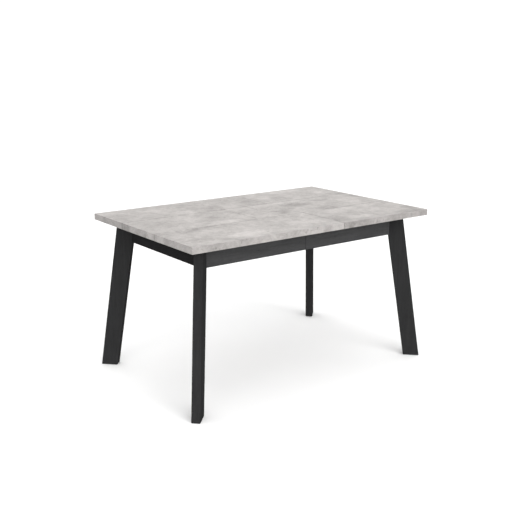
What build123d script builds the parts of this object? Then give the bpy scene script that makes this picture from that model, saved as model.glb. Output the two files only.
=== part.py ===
from build123d import *
import math
import os

# Extendable dining table: two half tables, each with half the top, half the apron frame and two
# splayed legs, joined by a pair of geared three-member slides that carry two spare leaves.
#
# Frame: origin on the floor under the middle of the closed table, +X along its length, +Y towards
# the rear long side, +Z up.  Units are millimetres.  Every solid is drawn in the closed position.

# ---------------------------------------------------------------- driving dimensions
TABLE_LENGTH = 1400.0
TABLE_WIDTH = 900.0
TABLE_HEIGHT = 780.0
TOP_THICKNESS = 30.0
TOP_JOINT_GAP = 0.3  # hairline between the two halves of the top
EDGING = 1.3  # thickness of the glued-on edge strip
EDGING_ROUND = 0.8

END_OVERHANG = 121.0  # top edge to the outer face of the end apron
SIDE_OVERHANG = 120.0  # top edge to the outer face of the long apron
APRON_HEIGHT = 104.0
APRON_THICKNESS = 20.0
APRON_JOINT_GAP = 1.6  # visible line where the two half aprons meet
APRON_ROUND = 1.2

LEG_THICKNESS = 40.0  # across the board
LEG_HEAD_WIDTH = 88.0  # level, under the top
LEG_FOOT_WIDTH = 81.5  # level, at the floor
LEG_LEAN = 8.64  # of the leg's outer edge, in degrees off vertical, along the diagonal
FOOT_INSET_X = 4.1  # top's end edge to the middle of the foot's outer edge
FOOT_INSET_Y = 7.3  # top's long edge to the middle of the foot's outer edge
LEG_ROUND = 1.5
GLIDE_THICKNESS = 2.0
GLIDE_INSET = 2.0
GLIDE_ROUND = 4.0

BLOCK_ARM = 70.0  # how far a corner block runs along each apron
BLOCK_GAP = 2.0  # corner block to the top above and to the apron's lower edge
HANGER_BOLT_R = 4.0
HANGER_BOLT_IN_LEG = 50.0
HANGER_BOLT_PROUD = 14.0
HANGER_BOLT_INSET = 24.0  # from the apron's upper and lower edges
WASHER_R, WASHER_T = 10.0, 1.6
NUT_FLATS, NUT_H = 13.0, 6.5
LOOSE = 0.5  # radial clearance of a bolt in a drilled hole
SNUG = 0.08  # radial clearance of a thread, pin or dowel in its own hole

SLIDE_DROP = 2.0  # slide channels sit this far under the top
CHANNEL_H, CHANNEL_WALL = 46.0, 2.5
CHANNEL_SLOT = 20.0
CHANNEL_GAP = 10.0  # between the mouths of the two facing channels
CHANNEL_END_ROOM = 17.0  # channel end to the end apron
CHANNEL_PAST_PINION = 140.0  # how far a channel still reaches past the pinion when drawn out
FLANGE_T, FLANGE_H = 3.0, 34.0
FLANGE_FROM_MOUTH = 4.0
WEB_H = 16.0
RUNNER_END_ROOM = 37.0  # centre runner end to the end apron
SHOE_L, SHOE_W, SHOE_CLEARANCE, SHOE_ROUND = 40.0, 6.0, 0.3, 1.5
BATTEN_W, BATTEN_H = 20.0, 38.0
BATTEN_FROM_JOINT, BATTEN_END_ROOM = 80.0, 27.0
PAD_W, PAD_T = 16.0, 1.6
PAD_FROM_JOINT, PAD_FROM_END = 20.0, 10.0
BATTEN_SCREW_SHARES = (0.08, 0.5, 0.92)  # along the batten
WALL_SCREW_OFFSET = 12.0  # along the slide, from the screw that goes up through the batten

GEAR_MODULE = 2.0
PINION_TEETH = 18
PINION_T = 8.0
PINION_PIN_R = 3.0
PRESSURE_ANGLE = 20.0
BACKLASH = 0.30  # total, at the pitch line
RACK_H = 10.0
RACK_BACK = 4.0  # behind the roots of the teeth
RACK_EXTRA_TEETH = 5  # beyond the travel, at each end

LEAF_COUNT = 2
LEAF_SIDE_ROOM = 15.0  # stored leaf's long edge to the batten beside it
LEAF_PAD_T = 2.0
CROSSBAR_W, CROSSBAR_H, CROSSBAR_WALL = 30.0, 20.0, 1.5
CROSSBAR_FROM_DOWEL = 60.0  # crossbar's middle to the leaf's outer dowel
LEAF_ROOM = 11.0  # upper leaf to the underside of the top
LEAF_PAD_R = 11.0
CROSSBAR_PAST_SLIDE = 20.0
CAP_T, CAP_PLUG, CAP_ROUND = 2.0, 8.0, 1.0
HANGER_T, HANGER_L = 8.0, 40.0
CARRIER_SCREW_APART = 16.0
STOP_T, STOP_H, STOP_ROOM = 4.0, 22.0, 2.0
STOP_INSET, STOP_ROUND = 4.0, 1.2

DOWEL_R, DOWEL_SUNK, DOWEL_PROUD = 4.0, 22.0, 12.0
DOWEL_LEAD = 1.5  # rounded nose
DOWEL_FROM_EDGE = 120.0

LOCK_FROM_APRON = 14.0  # lock pivot to the long apron's inner face
LOCK_SPAN = 44.0  # pivot to keeper stud
LOCK_ROOM = 5.0  # open lever to the slide beside it
LOCK_PLATE_T, LOCK_PLATE_W, LOCK_PLATE_L = 2.0, 24.0, 38.0
LOCK_STUD_R = 4.0
LOCK_ARM_T, LOCK_ARM_W = 4.0, 16.0
LOCK_HEAD_T, LOCK_HEAD_R = 2.0, 6.5
LOCK_PLAY = 0.4  # lever to the plate above and to the stud head below
LOCK_CATCH = 0.3  # stud to the wall of the lever's notch
LOCK_MOUTH = 1.5  # how much the notch widens towards its mouth
LOCK_TAB_T, LOCK_TAB_L, LOCK_TAB_H = 2.0, 20.0, 12.0
LOCK_SCREW_FROM_END, LOCK_SCREW_APART = 8.0, 12.0
LOCK_PLATE_ROUND = 3.0

BRACKET_W, BRACKET_LEG, BRACKET_T = 22.0, 26.0, 2.0
LONG_BRACKET_SHARES = (0.16, 0.66)  # of the way from the joint to the end apron
END_BRACKET_SHARES = (-0.33, 0.33)  # of the way from the middle to the long apron
SCREW_R, SCREW_HEAD_R, SCREW_HEAD_H = 2.0, 4.0, 2.2
SCREW_IN_WOOD = 14.0
SCREW_CROSS_W = 0.9  # width of the two slots in a screw head

# ---------------------------------------------------------------- derived places
UNDER_TOP = TABLE_HEIGHT - TOP_THICKNESS
APRON_FOOT = UNDER_TOP - APRON_HEIGHT
HALF_L, HALF_W = TABLE_LENGTH / 2, TABLE_WIDTH / 2
APRON_X, APRON_Y = HALF_L - END_OVERHANG, HALF_W - SIDE_OVERHANG
INNER_X, INNER_Y = APRON_X - APRON_THICKNESS, APRON_Y - APRON_THICKNESS

LEAN = math.tan(math.radians(LEG_LEAN))
LEG_TAPER = (LEG_HEAD_WIDTH - LEG_FOOT_WIDTH) / UNDER_TOP  # widening per unit of height
FOOT_X, FOOT_Y = HALF_L - FOOT_INSET_X, HALF_W - FOOT_INSET_Y
LEG_SKEW = FOOT_X - FOOT_Y  # |x| - |y| on the leg's middle plane
LEG_SIDE = LEG_THICKNESS / math.sqrt(2)  # |x| - |y| from that plane to a wide face

SLIDE_Z = UNDER_TOP - SLIDE_DROP - CHANNEL_H / 2
RUNNER_END = INNER_X - RUNNER_END_ROOM
PITCH_R = GEAR_MODULE * PINION_TEETH / 2
TOOTH_PITCH = math.pi * GEAR_MODULE
ADDENDUM, DEDENDUM = GEAR_MODULE, 1.25 * GEAR_MODULE
SLIDE_HALF = PITCH_R + DEDENDUM + RACK_BACK + CHANNEL_WALL  # slide's middle to a channel's back
CHANNEL_D = SLIDE_HALF - CHANNEL_GAP / 2
LOCK_Y = INNER_Y - LOCK_FROM_APRON
SLIDE_Y = LOCK_Y - LOCK_SPAN - LOCK_ARM_W / 2 - LOCK_ROOM - SLIDE_HALF

LEAF_WIDTH = 2 * (SLIDE_Y - SLIDE_HALF - BATTEN_W - LEAF_SIDE_ROOM)
LEAF_STEP = TOP_THICKNESS + LEAF_PAD_T
LEAF_Z = UNDER_TOP - LEAF_ROOM - LEAF_COUNT * LEAF_STEP + LEAF_PAD_T
CROSSBAR_Z = LEAF_Z - LEAF_PAD_T - CROSSBAR_H
TRAVEL = LEAF_COUNT * LEAF_WIDTH
CHANNEL_END = INNER_X - CHANNEL_END_ROOM
CHANNEL_FREE_END = TRAVEL / 2 + CHANNEL_PAST_PINION
DOWEL_Z = UNDER_TOP + TOP_THICKNESS / 2
DOWEL_YS = (-(HALF_W - DOWEL_FROM_EDGE), 0.0, HALF_W - DOWEL_FROM_EDGE)
CROSSBAR_X = DOWEL_YS[-1] - CROSSBAR_FROM_DOWEL

SIDES = {"left": -1, "right": 1}
ROWS = {"front": -1, "rear": 1}

pieces = {}  # node name -> list of solids
cuts = {}  # node name -> list of hole cutters


# ---------------------------------------------------------------- helpers
def block(x, y, z):
    """A box from three (from, to) pairs given in either order."""
    spans = [sorted(pair) for pair in (x, y, z)]
    size = [high - low for low, high in spans]
    middle = [(high + low) / 2 for low, high in spans]
    return Pos(*middle) * Box(*size)


def rod(start, direction, length, radius):
    """A cylinder that starts at a point and runs along a direction."""
    plane = Plane(origin=start, z_dir=direction)
    return extrude(plane * Circle(radius), length)


def add(name, *solids):
    pieces.setdefault(name, []).extend(solids)


def drill(name, *cutters):
    cuts.setdefault(name, []).extend(cutters)


def screw(group, seat, direction, hosts, clearance_hosts=(), length=SCREW_IN_WOOD):
    """A pan-head wood screw: seat is the point under the head, direction is the way it drives."""
    way = Vector(*direction).normalized()
    start = Vector(*seat)
    head = rod(start, way * -1, SCREW_HEAD_H, SCREW_HEAD_R)
    rim = head.edges().sort_by(Axis((0, 0, 0), tuple(way * -1)))[-1]
    head = fillet(rim, SCREW_HEAD_H * 0.6)
    across = Plane(origin=start - way * SCREW_HEAD_H, z_dir=way)
    cross = Rectangle(SCREW_HEAD_R, SCREW_CROSS_W) + Rectangle(SCREW_CROSS_W, SCREW_HEAD_R)
    head -= extrude(across * cross, SCREW_HEAD_H / 2)
    add(group, head + rod(start, way, length, SCREW_R))
    for host in hosts:
        drill(host, rod(start, way, length + 0.5, SCREW_R + SNUG))
    for host in clearance_hosts:
        drill(host, rod(start - way, way, length, SCREW_R + LOOSE))


# ---------------------------------------------------------------- top halves
def edged_board(name, edging, x, y, z, rounded):
    """A board and its four edge strips.  rounded picks the outer edges that are eased."""
    whole = block(x, y, z)
    whole = fillet(whole.edges().filter_by(rounded), EDGING_ROUND)
    (x0, x1), (y0, y1), (z0, z1) = sorted(x), sorted(y), sorted(z)
    inner_x, inner_y = (x0 + EDGING, x1 - EDGING), (y0 + EDGING, y1 - EDGING)
    tall = (z0 - 1, z1 + 1)
    add(name, whole & block(inner_x, inner_y, tall))
    strips = [
        block((x0 - 1, inner_x[0]), inner_y, tall),
        block((inner_x[1], x1 + 1), inner_y, tall),
        block((x0 - 1, x1 + 1), (y0 - 1, inner_y[0]), tall),
        block((x0 - 1, x1 + 1), (inner_y[1], y1 + 1), tall),
    ]
    for strip in strips:
        add(edging, whole & strip)


def top_half(side, sx):
    joint_x = sx * TOP_JOINT_GAP / 2

    def outer_edge(edge):
        """Every edge except those of the face where the halves meet."""
        return abs(edge.center().X - joint_x) > 1 and abs(edge.center().Z - DOWEL_Z) > 1

    edged_board(
        "top_" + side,
        "top_edging_" + side,
        (joint_x, sx * HALF_L),
        (-HALF_W, HALF_W),
        (UNDER_TOP, TABLE_HEIGHT),
        outer_edge,
    )


def dowel(start, direction):
    """A dowel with a rounded nose at its free end, from the point where it starts in its board."""
    body = rod(start, direction, DOWEL_SUNK + DOWEL_PROUD, DOWEL_R)
    nose = body.edges().sort_by(Axis((0, 0, 0), direction))[-1]
    return fillet(nose, DOWEL_LEAD)


def dowel_hole(face_point, direction, depth, clearance):
    start = Vector(*face_point) - Vector(*direction)
    return rod(tuple(start), direction, depth + 1, DOWEL_R + clearance)


def top_dowels():
    """Dowels stand out of the left half and enter clearance holes in the right half."""
    for y in DOWEL_YS:
        face_x = -TOP_JOINT_GAP / 2
        add("top_dowels", dowel((face_x - DOWEL_SUNK, y, DOWEL_Z), (1, 0, 0)))
        glued = dowel_hole((face_x, y, DOWEL_Z), (-1, 0, 0), DOWEL_SUNK, SNUG)
        free = dowel_hole((-face_x, y, DOWEL_Z), (1, 0, 0), DOWEL_PROUD + 2, LOOSE)
        drill("top_left", glued)
        drill("top_edging_left", glued)
        drill("top_right", free)
        drill("top_edging_right", free)


# ---------------------------------------------------------------- apron frame
def plan_prism(points, z0, z1):
    """A vertical prism over an outline given in plan."""
    outline = Pos(0, 0, z0) * Polyline(*points, close=True)
    return extrude(make_face(outline), z1 - z0, dir=(0, 0, 1))


def eased(board, test):
    """Rounds the edges of an apron that pass a test."""
    return fillet(board.edges().filter_by(test), APRON_ROUND)


def long_apron(side, sx, row, sy):
    reach = LEG_SKEW - LEG_SIDE  # |x| - |y| at the leg's wide face
    start = sx * APRON_JOINT_GAP / 2
    outline = [
        (start, sy * APRON_Y),
        (sx * (APRON_Y + reach), sy * APRON_Y),
        (sx * (INNER_Y + reach), sy * INNER_Y),
        (start, sy * INNER_Y),
    ]
    board = plan_prism(outline, APRON_FOOT, UNDER_TOP)

    def seam_or_lower_long(edge):
        """The upright outer edge at the seam, and both lower edges along the board."""
        middle = edge.center()
        at_seam = abs(middle.X - start) < 0.1 and abs(middle.Y - sy * APRON_Y) < 0.1
        return at_seam or (middle.Z < APRON_FOOT + 1 and edge.length > INNER_X / 2)

    add(f"{row}_apron_{side}", eased(board, seam_or_lower_long))


def end_apron(side, sx):
    reach = LEG_SKEW + LEG_SIDE
    outline = [
        (sx * APRON_X, -(APRON_X - reach)),
        (sx * APRON_X, APRON_X - reach),
        (sx * INNER_X, INNER_X - reach),
        (sx * INNER_X, -(INNER_X - reach)),
    ]
    board = plan_prism(outline, APRON_FOOT, UNDER_TOP)

    def lower_long(edge):
        return edge.center().Z < APRON_FOOT + 1 and edge.length > INNER_Y

    add(f"end_apron_{side}", eased(board, lower_long))


# ---------------------------------------------------------------- legs and corners
def leg_plane(sx, sy):
    """Plane of a leg's middle: local x points outwards along the diagonal, local y up."""
    out = Vector(sx, sy, 0).normalized()
    return Plane(
        origin=(sx * FOOT_X, sy * FOOT_Y, 0), x_dir=tuple(out), z_dir=(out.Y, -out.X, 0)
    )


def leg_inner_edge(z):
    """How far the leg's inner edge is, at a height, from its outer edge at the floor."""
    return LEG_FOOT_WIDTH + z * (LEAN + LEG_TAPER)


def leg_board(sx, sy, foot, head, grow=0.0):
    """The leaning leg between two levels; grow makes the oversize copy that clears it."""
    outline = Polyline(
        (-foot * LEAN + grow, foot),
        (-head * LEAN + grow, head),
        (-leg_inner_edge(head) - grow, head),
        (-leg_inner_edge(foot) - grow, foot),
        close=True,
    )
    plane = leg_plane(sx, sy)
    return extrude(plane * make_face(outline), LEG_THICKNESS / 2 + grow, both=True)


def leg(name, sx, sy):
    board = leg_board(sx, sy, GLIDE_THICKNESS, UNDER_TOP)
    slopes = board.edges().filter_by(lambda edge: edge.length > UNDER_TOP / 2)
    add("leg_" + name, fillet(slopes, LEG_ROUND))
    outer, inner = GLIDE_THICKNESS * LEAN, leg_inner_edge(GLIDE_THICKNESS)
    face = Rectangle(inner - outer - 2 * GLIDE_INSET, LEG_THICKNESS - 2 * GLIDE_INSET)
    pad = fillet(extrude(face, GLIDE_THICKNESS).edges().filter_by(Axis.Z), GLIDE_ROUND)
    middle = leg_plane(sx, sy).from_local_coords((-(inner + outer) / 2, 0, 0))
    turn = math.degrees(math.atan2(sy, sx))
    add("glides_" + name.split("_")[1], Pos(*middle) * Rot(0, 0, turn) * pad)


def corner_block(group, sx, sy):
    """A block that fills the corner behind the leg: a tongue between the mitred apron ends, then
    an arm along each apron."""
    to_long, to_end = LEG_SKEW - LEG_SIDE, LEG_SKEW + LEG_SIDE
    outline = [
        (INNER_X - BLOCK_ARM, INNER_Y),
        (INNER_Y + to_long, INNER_Y),
        (APRON_Y + to_long, APRON_Y),
        (APRON_X, APRON_X - to_end),
        (INNER_X, INNER_X - to_end),
        (INNER_X, INNER_Y - BLOCK_ARM),
    ]
    outline = [(sx * x, sy * y) for x, y in outline]
    solid = plan_prism(outline, APRON_FOOT + BLOCK_GAP, UNDER_TOP - BLOCK_GAP)
    solid -= leg_board(sx, sy, APRON_FOOT - 10, UNDER_TOP + 10, SNUG)
    add(group, max(solid.solids(), key=lambda part: part.volume))


def hanger_bolts(name, side, sx, sy):
    """Two bolts run from inside the leg, through the corner block, to a washer and nut."""
    plane = leg_plane(sx, sy)
    inward = (-plane.x_dir.X, -plane.x_dir.Y, 0)
    face_sum = INNER_X + INNER_Y - BLOCK_ARM  # |x| + |y| on the block's inner face
    to_face = (FOOT_X + FOOT_Y - face_sum) / math.sqrt(2)
    for z in (APRON_FOOT + HANGER_BOLT_INSET, UNDER_TOP - HANGER_BOLT_INSET):
        leg_edge = leg_inner_edge(z)
        start = plane.from_local_coords((-(leg_edge - HANGER_BOLT_IN_LEG), z, 0))
        length = to_face + HANGER_BOLT_PROUD - (leg_edge - HANGER_BOLT_IN_LEG)
        add("hanger_bolts_" + side, rod(start, inward, length, HANGER_BOLT_R))
        drill("leg_" + name, rod(start, inward, length, HANGER_BOLT_R + SNUG))
        drill("corner_blocks_" + side, rod(start, inward, length, HANGER_BOLT_R + LOOSE))
        seat = plane.from_local_coords((-to_face, z, 0))
        ring = Circle(WASHER_R) - Circle(HANGER_BOLT_R + LOOSE)
        on_seat = Plane(origin=seat, z_dir=inward)
        add("nuts_and_washers_" + side, extrude(on_seat * ring, WASHER_T))
        on_washer = on_seat.offset(WASHER_T)
        hexagon = RegularPolygon(NUT_FLATS / 2, 6, major_radius=False)
        shape = extrude(on_washer * (hexagon - Circle(HANGER_BOLT_R + SNUG)), NUT_H)
        add("nuts_and_washers_" + side, shape)


# ---------------------------------------------------------------- top fixing brackets
def angle_bracket(side, host, corner, out, along):
    """An angle in the corner under the top: corner is the middle of its heel, out points away
    from the apron and along runs down the apron."""
    out, along = Vector(*out), Vector(*along)
    heel = Vector(*corner)
    profile = Polyline(
        (0, 0),
        (BRACKET_LEG, 0),
        (BRACKET_LEG, -BRACKET_T),
        (BRACKET_T, -BRACKET_T),
        (BRACKET_T, -BRACKET_LEG),
        (0, -BRACKET_LEG),
        close=True,
    )
    plane = Plane(origin=heel, x_dir=out, z_dir=out.cross(Vector(0, 0, 1)))
    group = "brackets_" + side
    add(group, extrude(plane * make_face(profile), BRACKET_W / 2, both=True))
    reach = BRACKET_LEG * 0.6
    up_seat = heel + out * reach + Vector(0, 0, -BRACKET_T)
    in_seat = heel + out * BRACKET_T + Vector(0, 0, -reach)
    for seat, way, wood in (
        (up_seat, Vector(0, 0, 1), "top_" + side),
        (in_seat, out * -1, host),
    ):
        screw("wood_screws_" + side, seat, way, [wood], [group])


def brackets(side, sx):
    for share in LONG_BRACKET_SHARES:
        x = sx * share * INNER_X
        for row, sy in ROWS.items():
            host = f"{row}_apron_{side}"
            angle_bracket(side, host, (x, sy * INNER_Y, UNDER_TOP), (0, -sy, 0), (1, 0, 0))
    for share in END_BRACKET_SHARES:
        heel = (sx * INNER_X, share * INNER_Y, UNDER_TOP)
        angle_bracket(side, "end_apron_" + side, heel, (-sx, 0, 0), (0, 1, 0))


# ---------------------------------------------------------------- slides
def slide_profile(points, x0, x1, y, flip):
    """Extrudes a section, drawn as (across, up) from the slide's middle, along X."""
    outline = [(y + flip * across, SLIDE_Z + up) for across, up in points]
    plane = Plane(origin=(x0, 0, 0), x_dir=(0, 1, 0), z_dir=(1, 0, 0))
    return extrude(plane * make_face(Polyline(*outline, close=True)), x1 - x0)


def channel(name, x0, x1, y, flip):
    """A lipped channel whose back is at -SLIDE_HALF and whose mouth faces the middle."""
    back, mouth = -SLIDE_HALF, -CHANNEL_GAP / 2
    top, slot, wall = CHANNEL_H / 2, CHANNEL_SLOT / 2, CHANNEL_WALL
    section = [
        (back, -top),
        (mouth, -top),
        (mouth, -slot),
        (mouth - wall, -slot),
        (mouth - wall, -top + wall),
        (back + wall, -top + wall),
        (back + wall, top - wall),
        (mouth - wall, top - wall),
        (mouth - wall, slot),
        (mouth, slot),
        (mouth, top),
        (back, top),
    ]
    add(name, slide_profile(section, x0, x1, y, flip))


def rack(name, y, flip, travel_way):
    """A toothed bar on the channel's back wall.  The pitch line is PITCH_R from the middle."""
    teeth = math.ceil(TRAVEL / 2 / TOOTH_PITCH) + 2 * RACK_EXTRA_TEETH
    slope = math.tan(math.radians(PRESSURE_ANGLE))
    half = (TOOTH_PITCH - BACKLASH) / 4
    tip, root = half - ADDENDUM * slope, half + DEDENDUM * slope
    back, foot, crest = -SLIDE_HALF + CHANNEL_WALL, -PITCH_R - DEDENDUM, -PITCH_R + ADDENDUM
    start = -RACK_EXTRA_TEETH * TOOTH_PITCH
    points = [(start, back), (start, foot)]
    for k in range(teeth):
        middle = start + (k + 0.5) * TOOTH_PITCH
        points += [(middle - root, foot), (middle - tip, crest)]
        points += [(middle + tip, crest), (middle + root, foot)]
    end = start + teeth * TOOTH_PITCH
    points += [(end, foot), (end, back)]
    outline = [(travel_way * x, y + flip * across) for x, across in points]
    add(name, plan_prism(outline, SLIDE_Z - RACK_H / 2, SLIDE_Z + RACK_H / 2))


def involute_point(base_r, radius, half_angle_at_base):
    """Point on the right flank of a tooth that is centred on the local x axis."""
    roll = math.sqrt(max(radius * radius / (base_r * base_r) - 1, 0))
    angle = half_angle_at_base - (roll - math.atan(roll))
    return radius * math.cos(angle), radius * math.sin(angle)


def pinion(name, y):
    """An involute pinion on a vertical pin, with a tooth pointing at each rack."""
    alpha = math.radians(PRESSURE_ANGLE)
    base_r = PITCH_R * math.cos(alpha)
    root_r, tip_r = PITCH_R - DEDENDUM, PITCH_R + ADDENDUM
    half_at_pitch = (TOOTH_PITCH - BACKLASH) / 4 / PITCH_R
    half_at_base = half_at_pitch + math.tan(alpha) - alpha
    step = 2 * math.pi / PINION_TEETH
    low = involute_point(base_r, base_r, half_at_base)
    middle = involute_point(base_r, (base_r + tip_r) / 2, half_at_base)
    high = involute_point(base_r, tip_r, half_at_base)
    root_angle = math.atan2(low[1], low[0])
    root = (root_r * math.cos(root_angle), root_r * math.sin(root_angle))
    edges = []
    for k in range(PINION_TEETH):
        turn = Rot(0, 0, 90 + math.degrees(k * step))
        edges += [
            turn * Line((root[0], -root[1]), (low[0], -low[1])),
            turn * ThreePointArc((low[0], -low[1]), (middle[0], -middle[1]), (high[0], -high[1])),
            turn * ThreePointArc((high[0], -high[1]), (tip_r, 0), high),
            turn * ThreePointArc(high, middle, low),
            turn * Line(low, root),
        ]
        gap = root_r * math.cos(step / 2), root_r * math.sin(step / 2)
        next_root = (
            root_r * math.cos(step - root_angle),
            root_r * math.sin(step - root_angle),
        )
        edges.append(turn * ThreePointArc(root, gap, next_root))
    face = make_face(edges) - Circle(PINION_PIN_R + SNUG)
    add(name, Pos(0, y, SLIDE_Z - PINION_T / 2) * extrude(face, PINION_T, dir=(0, 0, 1)))


def centre_runner(row, y):
    """The runner between the channels: two flanges joined by a web with the pinion's pocket."""
    outer = CHANNEL_GAP / 2 + FLANGE_FROM_MOUTH + FLANGE_T
    inner, tall, web = outer - FLANGE_T, FLANGE_H / 2, WEB_H / 2
    section = [
        (-outer, -tall),
        (-inner, -tall),
        (-inner, -web),
        (inner, -web),
        (inner, -tall),
        (outer, -tall),
        (outer, tall),
        (inner, tall),
        (inner, web),
        (-inner, web),
        (-inner, tall),
        (-outer, tall),
    ]
    name = "centre_runner_" + row
    add(name, slide_profile(section, -RUNNER_END, RUNNER_END, y, 1))
    room = PITCH_R + ADDENDUM + 2
    slot = PINION_T / 2 + LOOSE
    pocket = (SLIDE_Z - slot, SLIDE_Z + slot)
    drill(name, block((-room, room), (y - outer - 1, y + outer + 1), pocket))
    pin_start = (0, y, SLIDE_Z - web)
    drill(name, rod((0, y, SLIDE_Z - web - 1), (0, 0, 1), WEB_H + 2, PINION_PIN_R + SNUG / 2))
    add("pinion_pins", rod(pin_start, (0, 0, 1), WEB_H, PINION_PIN_R))
    shoe_h = CHANNEL_H / 2 - CHANNEL_WALL - SHOE_CLEARANCE - tall
    across = (outer + inner) / 2
    for x in (-RUNNER_END + SHOE_L / 2, RUNNER_END - SHOE_L / 2):
        for flange in (-across, across):
            for up in (-1, 1):
                z = SLIDE_Z + up * (tall + shoe_h / 2)
                shoe = Pos(x, y + flange, z) * Box(SHOE_L, SHOE_W, shoe_h)
                add("slide_shoes", fillet(shoe.edges().filter_by(Axis.Z), SHOE_ROUND))


def slide_member(side, sx, row, sy):
    """One channel with its rack, batten, pad and screws.  The left channels have their backs
    towards the aprons, the right channels towards the middle of the table."""
    flip = sy if side == "right" else -sy
    y = sy * SLIDE_Y
    name = f"slide_channel_{row}_{side}"
    ends = sorted((sx * CHANNEL_END, -sx * CHANNEL_FREE_END))
    channel(name, ends[0], ends[1], y, flip)
    rack("slide_racks_" + side, y, flip, -sx)
    back_y = y - flip * SLIDE_HALF
    batten_y = (back_y, back_y - flip * BATTEN_W)
    batten_x = (sx * BATTEN_FROM_JOINT, sx * (INNER_X - BATTEN_END_ROOM))
    batten_name = "slide_battens_" + side
    add(batten_name, block(batten_x, batten_y, (UNDER_TOP - BATTEN_H, UNDER_TOP)))
    for share in BATTEN_SCREW_SHARES:
        x = batten_x[0] + share * (batten_x[1] - batten_x[0])
        mid_y = sum(batten_y) / 2
        up_seat = (x, mid_y, UNDER_TOP - BATTEN_H)
        up_length = BATTEN_H + SCREW_IN_WOOD
        hosts = [batten_name, "top_" + side]
        screw("batten_screws_" + side, up_seat, (0, 0, 1), hosts, (), up_length)
        wall_x = x + WALL_SCREW_OFFSET
        wall_seat = (wall_x, back_y + flip * CHANNEL_WALL, SLIDE_Z)
        screw("wood_screws_" + side, wall_seat, (0, -flip, 0), [name, batten_name])
    pad_x = (-sx * PAD_FROM_JOINT, -sx * (CHANNEL_FREE_END - PAD_FROM_END))
    pad_y = y - flip * (CHANNEL_GAP / 2 + CHANNEL_D / 2)
    channel_top = SLIDE_Z + CHANNEL_H / 2
    pad = block(pad_x, (pad_y - PAD_W / 2, pad_y + PAD_W / 2), (channel_top, channel_top + PAD_T))
    add("slide_pads_" + side, pad)


# ---------------------------------------------------------------- leaf carrier and leaves
def leaf_carrier():
    reach = SLIDE_Y + CROSSBAR_PAST_SLIDE
    z = (CROSSBAR_Z, CROSSBAR_Z + CROSSBAR_H)
    web_foot = SLIDE_Z - WEB_H / 2
    name = "crossbars"
    for sx in SIDES.values():
        x = sx * CROSSBAR_X
        wide = (x - CROSSBAR_W / 2, x + CROSSBAR_W / 2)
        wall = CROSSBAR_WALL
        hollow = block(
            (wide[0] + wall, wide[1] - wall), (-reach - 1, reach + 1), (z[0] + wall, z[1] - wall)
        )
        add(name, block(wide, (-reach, reach), z) - hollow)
        for row, sy in ROWS.items():
            y = sy * SLIDE_Y
            lip = block(wide, (sy * reach, sy * (reach + CAP_T)), z)
            lip = fillet(lip.edges().filter_by(Axis.Y), CAP_ROUND)
            plug = block(
                (wide[0] + wall + SNUG, wide[1] - wall - SNUG),
                (sy * (reach - CAP_PLUG), sy * reach),
                (z[0] + wall + SNUG, z[1] - wall - SNUG),
            )
            add("crossbar_caps", lip + plug)
            across = (y - HANGER_T / 2, y + HANGER_T / 2)
            along = (x - HANGER_L / 2, x + HANGER_L / 2)
            add("carrier_hangers", block(along, across, (z[1], web_foot)))
            length = web_foot - z[0] + WEB_H / 2
            runner = "centre_runner_" + row
            hosts = [name, "carrier_hangers", runner]
            for offset in (-CARRIER_SCREW_APART / 2, CARRIER_SCREW_APART / 2):
                screw("carrier_screws", (x + offset, y, z[0]), (0, 0, 1), hosts, (), length)
            edge = LEAF_WIDTH / 2 + STOP_ROOM
            stop_x = (wide[0] + STOP_INSET, wide[1] - STOP_INSET)
            stop = block(stop_x, (sy * edge, sy * (edge + STOP_T)), (z[1], z[1] + STOP_H))
            rim = stop.edges().filter_by(Axis.X).group_by(Axis.Z)[-1]
            add("leaf_stops", fillet(rim, STOP_ROUND))
            pad_y = sy * LEAF_WIDTH / 4
            for level in range(LEAF_COUNT):
                low = z[1] + level * LEAF_STEP
                pad = Pos(x, pad_y, low + LEAF_PAD_T / 2) * Cylinder(LEAF_PAD_R, LEAF_PAD_T)
                add("leaf_pads", pad)


def leaf(number):
    """A spare leaf, stored lengthwise; its dowels stand out of its front edge."""
    low = LEAF_Z + (number - 1) * LEAF_STEP
    z_mid = low + TOP_THICKNESS / 2
    half = LEAF_WIDTH / 2

    def short_edge(edge):
        return abs(abs(edge.center().X) - HALF_W) < 1 and abs(edge.center().Z - z_mid) > 1

    name = f"leaf_{number}"
    spans = ((-HALF_W, HALF_W), (-half, half), (low, low + TOP_THICKNESS))
    edged_board(name, "leaf_edging", *spans, short_edge)
    for x in DOWEL_YS:
        add("leaf_dowels", dowel((x, -half + DOWEL_SUNK, z_mid), (0, -1, 0)))
        glued = dowel_hole((x, -half, z_mid), (0, 1, 0), DOWEL_SUNK, SNUG)
        free = dowel_hole((x, half, z_mid), (0, -1, 0), DOWEL_PROUD + 2, LOOSE)
        drill(name, glued, free)
        drill("leaf_edging", glued, free)


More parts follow.
